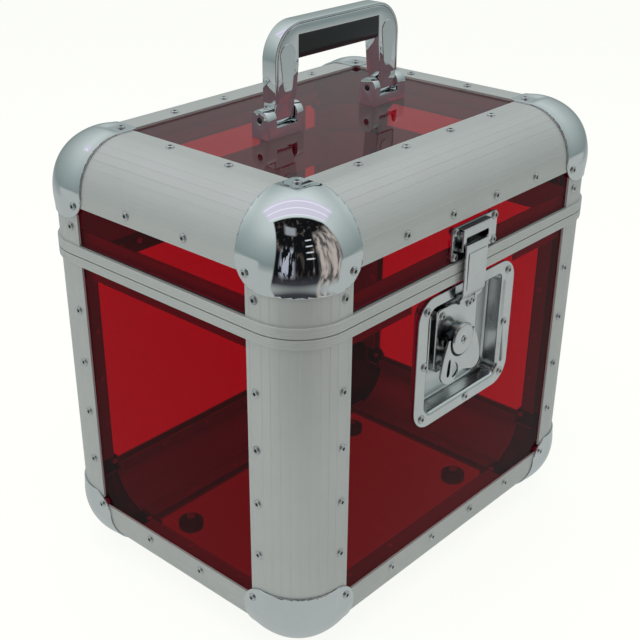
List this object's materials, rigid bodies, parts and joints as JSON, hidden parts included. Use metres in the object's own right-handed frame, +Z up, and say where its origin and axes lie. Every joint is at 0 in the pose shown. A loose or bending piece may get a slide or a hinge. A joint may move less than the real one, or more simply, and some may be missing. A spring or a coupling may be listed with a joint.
{
  "type": "record carrying case",
  "caption": "Carrying case for records: red acrylic panels in aluminium edge profiles, chrome ball corners, a hinged lid with a folding handle, and a recessed butterfly latch.",
  "frame": {"origin": "middle of the footprint, on the surface that the feet stand on", "axes": "+X right along the latch face, +Y to the hinge side, +Z up"},
  "size_m": [0.3764, 0.2914, 0.447],
  "materials": {
    "red_acrylic": "gloss",
    "satin_aluminium": "satin",
    "chrome": "mirror",
    "bright_plate": "bright",
    "rivet_metal": "satin",
    "black_grip": "matte",
    "black_rubber": "matte"
  },
  "bodies": {
    "base": {"base_cap_back_left": "chrome", "base_cap_back_right": "chrome", "base_cap_front_left": "chrome", "base_cap_front_right": "chrome", "base_panel_back": "red_acrylic", "base_panel_bottom": "red_acrylic", "base_panel_front": "red_acrylic", "base_panel_left": "red_acrylic", "base_panel_right": "red_acrylic", "base_profile_back": "satin_aluminium", "base_profile_front": "satin_aluminium", "base_profile_left": "satin_aluminium", "base_profile_right": "satin_aluminium", "base_rim": "satin_aluminium", "base_rivets": "rivet_metal", "base_upright_back_left": "satin_aluminium", "base_upright_back_right": "satin_aluminium", "base_upright_front_left": "satin_aluminium", "base_upright_front_right": "satin_aluminium", "feet": "black_rubber", "foot_screws": "bright_plate", "hinge_base_leaves": "bright_plate", "hinge_pins": "bright_plate", "latch_cover": "bright_plate", "latch_dish": "bright_plate", "latch_guide": "bright_plate"},
    "lid": {"lid_cap_back_left": "chrome", "lid_cap_back_right": "chrome", "lid_cap_front_left": "chrome", "lid_cap_front_right": "chrome", "lid_panel_back": "red_acrylic", "lid_panel_front": "red_acrylic", "lid_panel_left": "red_acrylic", "lid_panel_right": "red_acrylic", "lid_panel_top": "red_acrylic", "lid_profile_back": "satin_aluminium", "lid_profile_front": "satin_aluminium", "lid_profile_left": "satin_aluminium", "lid_profile_right": "satin_aluminium", "lid_rim": "satin_aluminium", "lid_rivets": "rivet_metal", "lid_uprights": "satin_aluminium", "handle_brackets": "chrome", "bracket_screws": "bright_plate", "handle_pins": "chrome", "hinge_lid_leaves": "bright_plate", "latch_keeper": "bright_plate"},
    "handle": {"handle_frame": "chrome", "handle_strap": "chrome", "handle_grip": "black_grip"},
    "knob": {"latch_knob": "bright_plate", "latch_fold_pin": "bright_plate", "latch_spring": "bright_plate"},
    "wing": {"latch_wing": "bright_plate"},
    "drawbolt": {"latch_drawbolt": "bright_plate", "tongue_pin": "bright_plate"},
    "tongue": {"latch_tongue": "bright_plate"}
  },
  "joints": [
    {"name": "lid_hinge", "type": "hinge", "parent": "base", "child": "lid", "pos_m": [0, 0.1433, 0.281], "axis": [-1, 0, 0], "range_deg": [0, 105]},
    {"name": "handle_pivot", "type": "hinge", "parent": "lid", "child": "handle", "pos_m": [0.00175, 0, 0.38], "axis": [1, 0, 0], "range_deg": [-88, 88]},
    {"name": "latch_turn", "type": "hinge", "parent": "base", "child": "knob", "pos_m": [0.001, -0.1385, 0.219], "axis": [0, 1, 0], "range_deg": [0, 110]},
    {"name": "wing_fold", "type": "hinge", "parent": "knob", "child": "wing", "pos_m": [0.001, -0.1325, 0.219], "axis": [-1, 0, 0], "range_deg": [0, 90]},
    {"name": "drawbolt_slide", "type": "slide", "parent": "base", "child": "drawbolt", "axis": [0, 0, 1], "range_m": [0, 0.01]},
    {"name": "tongue_tilt", "type": "hinge", "parent": "drawbolt", "child": "tongue", "pos_m": [-0.00125, -0.1405, 0.2565], "axis": [1, 0, 0], "range_deg": [0, 30]}
  ],
  "couplings": [
    {"joint": "latch_turn", "follows": "drawbolt_slide", "rad_per_m": 191.99}
  ]
}
